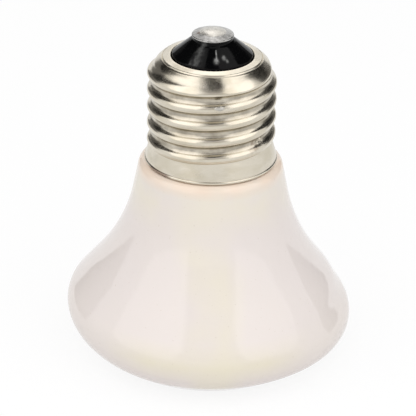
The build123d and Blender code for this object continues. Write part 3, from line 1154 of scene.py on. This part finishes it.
def toward(azimuth, elevation):
    """The direction at this azimuth, where 0 is in front and 90 to the right, and this far above level."""
    turn = radians(azimuth)
    lift = radians(elevation)
    return Vector((sin(turn) * cos(lift), -cos(turn) * cos(lift), sin(lift)))


for name, (azimuth, elevation) in boxes.items():
    lamp = bpy.data.lights.new(name, "AREA")
    lamp.shape = "RECTANGLE"
    lamp.size, lamp.size_y = box_size
    lamp.energy = box_power
    lamp_object = bpy.data.objects.new(name, lamp)
    scene.collection.objects.link(lamp_object)
    away = toward(azimuth, elevation)
    turned_to = away.to_track_quat("Z", "Y").to_matrix().to_4x4()
    lamp_object.matrix_world = Matrix.Translation(middle + away * box_distance) @ turned_to
    lamp_object.visible_camera = lamp_object.visible_glossy = False
print("soft boxes at", boxes)

# %% [markdown]
# What polished metal and glaze show of a light is its shape. So curved sheets hang round the set that show in
# reflections only. Two bright ones make the upright lights on the bell and the bright bands on the cap. Grey
# and dark ones give the metal its dark patches, because without something dark to reflect, polished metal
# looks like plaster. They hang a little nearer and cover the bright ones where both overlap. A last bright
# one, above the back, lights the flat ring and the contact. Each is a patch of a sphere: its azimuths at the
# bottom, its azimuths at the top, its elevations and its brightness.

# %% Sheets for reflections
sheet_distance = 0.62
dark_distance = 0.59
sheet_steps = 16
sheet_tint = (1, 0.98, 0.97, 1)
sheets = {
    "left_light": ((-68, -27), (-122, -20), (8, 74), 1.68),
    "right_light": ((32, 70), (26, 124), (8, 74), 1.68),
    "front_grey": ((-24, 29), (-18, 24), (16, 60), 0.6),
    "top_dark": ((-27, 27), (-62, 62), (58, 88), 0.02),
    "left_dark": ((-152, -106), (-158, -96), (22, 80), 0.02),
    "right_dark": ((108, 152), (104, 154), (20, 72), 0.02),
    "left_dim": ((-152, -106), (-152, -106), (-4, 22), 0.16),
    "right_dim": ((106, 152), (108, 152), (-4, 20), 0.16),
    "back_light": ((160, 200), (160, 200), (31, 68), 1.8),
}


def curved_sheet(name, low_turns, high_turns, lifts, distance):
    """A patch of a sphere round the object, between two azimuths at its bottom and two at its top."""
    mesh = bmesh.new()
    rows = []
    for row in range(sheet_steps + 1):
        up = row / sheet_steps
        start = low_turns[0] + (high_turns[0] - low_turns[0]) * up
        end = low_turns[1] + (high_turns[1] - low_turns[1]) * up
        lift = lifts[0] + (lifts[1] - lifts[0]) * up
        turns = [start + (end - start) * step / sheet_steps for step in range(sheet_steps + 1)]
        rows.append([mesh.verts.new(middle + toward(turn, lift) * distance) for turn in turns])
    for lower, upper in zip(rows, rows[1:]):
        for step in range(sheet_steps):
            mesh.faces.new((lower[step], lower[step + 1], upper[step + 1], upper[step]))
    return as_object(name, mesh)


for name, (low_turns, high_turns, lifts, brightness) in sheets.items():
    distance = sheet_distance if brightness > 1 else dark_distance
    hung = curved_sheet(name, low_turns, high_turns, lifts, distance)
    sheet_paint = bpy.data.materials.new(name)
    sheet_paint.use_nodes = True
    tree = sheet_paint.node_tree
    tree.nodes.clear()
    glow = add(tree, "ShaderNodeEmission", {"Color": sheet_tint, "Strength": brightness})
    add(tree, "ShaderNodeOutputMaterial", {"Surface": glow.outputs[0]})
    hung.data.materials.append(sheet_paint)
    hung.visible_camera = hung.visible_diffuse = hung.visible_shadow = hung.visible_transmission = False
print("sheets", list(sheets))

# %% [markdown]
# The camera stands a little over forty centimetres in front and looks down on the cap. It is a long lens, it
# was held one degree off level, and the object sits a few pixels right of the middle.

# %% Camera
look_at_height = 53 * mm
camera_distance = 0.42
camera_elevation = radians(24.7)
camera_down = radians(27.426)
camera_roll = radians(1.0)
camera_yaw = radians(0.055)
focal_pixels = 2080
image_size = 416
sensor = 36.0

camera_data = bpy.data.cameras.new("camera")
camera_data.sensor_width = sensor
camera_data.lens = focal_pixels / image_size * sensor
camera_data.clip_start = 20 * mm
camera = bpy.data.objects.new("camera", camera_data)
scene.collection.objects.link(camera)
back = Vector((0, -cos(camera_elevation), sin(camera_elevation)))
stand = Vector((0, 0, look_at_height)) + back * camera_distance
aim = Matrix.Rotation(camera_yaw, 4, "Z") @ Matrix.Rotation(pi / 2 - camera_down, 4, "X")
camera.matrix_world = Matrix.Translation(stand) @ aim @ Matrix.Rotation(camera_roll, 4, "Z")
scene.camera = camera
scene.view_settings.view_transform = "Standard"
print("lens", round(camera_data.lens, 1), "mm")
